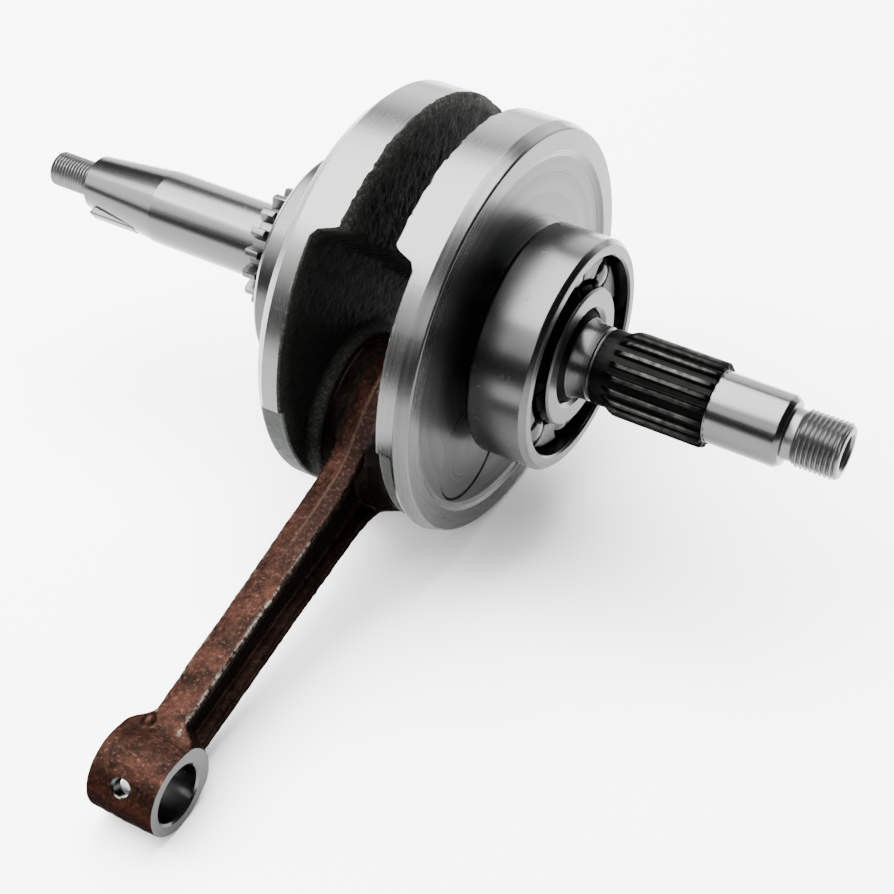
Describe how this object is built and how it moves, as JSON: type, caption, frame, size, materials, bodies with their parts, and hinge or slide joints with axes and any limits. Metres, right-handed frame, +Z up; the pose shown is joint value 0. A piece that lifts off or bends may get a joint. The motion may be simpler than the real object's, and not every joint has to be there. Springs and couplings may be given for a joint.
{
  "type": "crankshaft assembly",
  "caption": "Built-up single-throw crankshaft with round webs, a caged needle big end, a plated connecting rod, main ball bearings, splined and tapered ends and a timing sprocket.",
  "frame": {"origin": "on the floor, in the middle of the part's footprint, as it lies on both web rims and the rod's small end", "axes": "+X along the shaft towards the splined end, +Z up, so the rod lies towards -Y"},
  "size_m": [0.2406, 0.2034, 0.1108],
  "materials": {
    "forged_steel": "machined and part ground forged steel, dark scale on unmachined faces",
    "bearing_steel": "fine ground bearing steel",
    "ball_steel": "polished",
    "cage_black": "black moulded cage",
    "rod_copper": "worn copper plate over forged steel",
    "pin_steel": "ground and hardened",
    "needle_steel": "polished",
    "cage_steel": "pressed steel",
    "washer_bronze": "dull bronze",
    "sprocket_steel": "hardened, bright tooth flanks",
    "key_steel": "plain"
  },
  "bodies": {
    "crankshaft": {"crank_half_right": "forged_steel", "crank_half_left": "forged_steel", "crank_pin": "pin_steel", "timing_sprocket": "sprocket_steel", "woodruff_key": "key_steel", "right_bearing_inner_ring": "bearing_steel", "left_bearing_inner_ring": "bearing_steel"},
    "connecting_rod": {"connecting_rod": "rod_copper"},
    "big_end_needles": {"big_end_cage": "cage_steel", "needle_01": "needle_steel", "needle_02": "needle_steel", "needle_03": "needle_steel", "needle_04": "needle_steel", "needle_05": "needle_steel", "needle_06": "needle_steel", "needle_07": "needle_steel", "needle_08": "needle_steel", "needle_09": "needle_steel", "needle_10": "needle_steel", "needle_11": "needle_steel", "needle_12": "needle_steel", "needle_13": "needle_steel", "needle_14": "needle_steel"},
    "right_thrust_washer": {"thrust_washer_right": "washer_bronze"},
    "left_thrust_washer": {"thrust_washer_left": "washer_bronze"},
    "right_bearing_outer": {"right_bearing_outer_ring": "bearing_steel"},
    "right_bearing_balls": {"right_bearing_cage": "cage_black", "right_bearing_ball_1": "ball_steel", "right_bearing_ball_2": "ball_steel", "right_bearing_ball_3": "ball_steel", "right_bearing_ball_4": "ball_steel", "right_bearing_ball_5": "ball_steel", "right_bearing_ball_6": "ball_steel", "right_bearing_ball_7": "ball_steel", "right_bearing_ball_8": "ball_steel"},
    "left_bearing_outer": {"left_bearing_outer_ring": "bearing_steel"},
    "left_bearing_balls": {"left_bearing_cage": "cage_black", "left_bearing_ball_1": "ball_steel", "left_bearing_ball_2": "ball_steel", "left_bearing_ball_3": "ball_steel", "left_bearing_ball_4": "ball_steel", "left_bearing_ball_5": "ball_steel", "left_bearing_ball_6": "ball_steel", "left_bearing_ball_7": "ball_steel", "left_bearing_ball_8": "ball_steel"}
  },
  "joints": [
    {"name": "rod_swing", "type": "hinge", "parent": "crankshaft", "child": "connecting_rod", "pos_m": [0.00737, 0.02361, 0.03351], "axis": [1, 0, 0], "continuous": true},
    {"name": "needle_cage_roll", "type": "hinge", "parent": "crankshaft", "child": "big_end_needles", "pos_m": [0.00737, 0.02361, 0.03351], "axis": [1, 0, 0], "continuous": true},
    {"name": "right_washer_spin", "type": "hinge", "parent": "crankshaft", "child": "right_thrust_washer", "pos_m": [0.01752, 0.02361, 0.03351], "axis": [1, 0, 0], "continuous": true},
    {"name": "left_washer_spin", "type": "hinge", "parent": "crankshaft", "child": "left_thrust_washer", "pos_m": [-0.00278, 0.02361, 0.03351], "axis": [1, 0, 0], "continuous": true},
    {"name": "right_outer_ring_spin", "type": "hinge", "parent": "crankshaft", "child": "right_bearing_outer", "pos_m": [0.04022, 0.04627, 0.05539], "axis": [1, 0, 0], "continuous": true},
    {"name": "right_ball_cage_spin", "type": "hinge", "parent": "crankshaft", "child": "right_bearing_balls", "pos_m": [0.04022, 0.04627, 0.05539], "axis": [1, 0, 0], "continuous": true},
    {"name": "left_outer_ring_spin", "type": "hinge", "parent": "crankshaft", "child": "left_bearing_outer", "pos_m": [-0.02332, 0.04627, 0.05539], "axis": [1, 0, 0], "continuous": true},
    {"name": "left_ball_cage_spin", "type": "hinge", "parent": "crankshaft", "child": "left_bearing_balls", "pos_m": [-0.02332, 0.04627, 0.05539], "axis": [1, 0, 0], "continuous": true}
  ],
  "couplings": [
    {"joint": "needle_cage_roll", "follows": "rod_swing", "ratio": 0.55385},
    {"joint": "right_ball_cage_spin", "follows": "right_outer_ring_spin", "ratio": 0.63793},
    {"joint": "left_ball_cage_spin", "follows": "left_outer_ring_spin", "ratio": 0.63793}
  ]
}
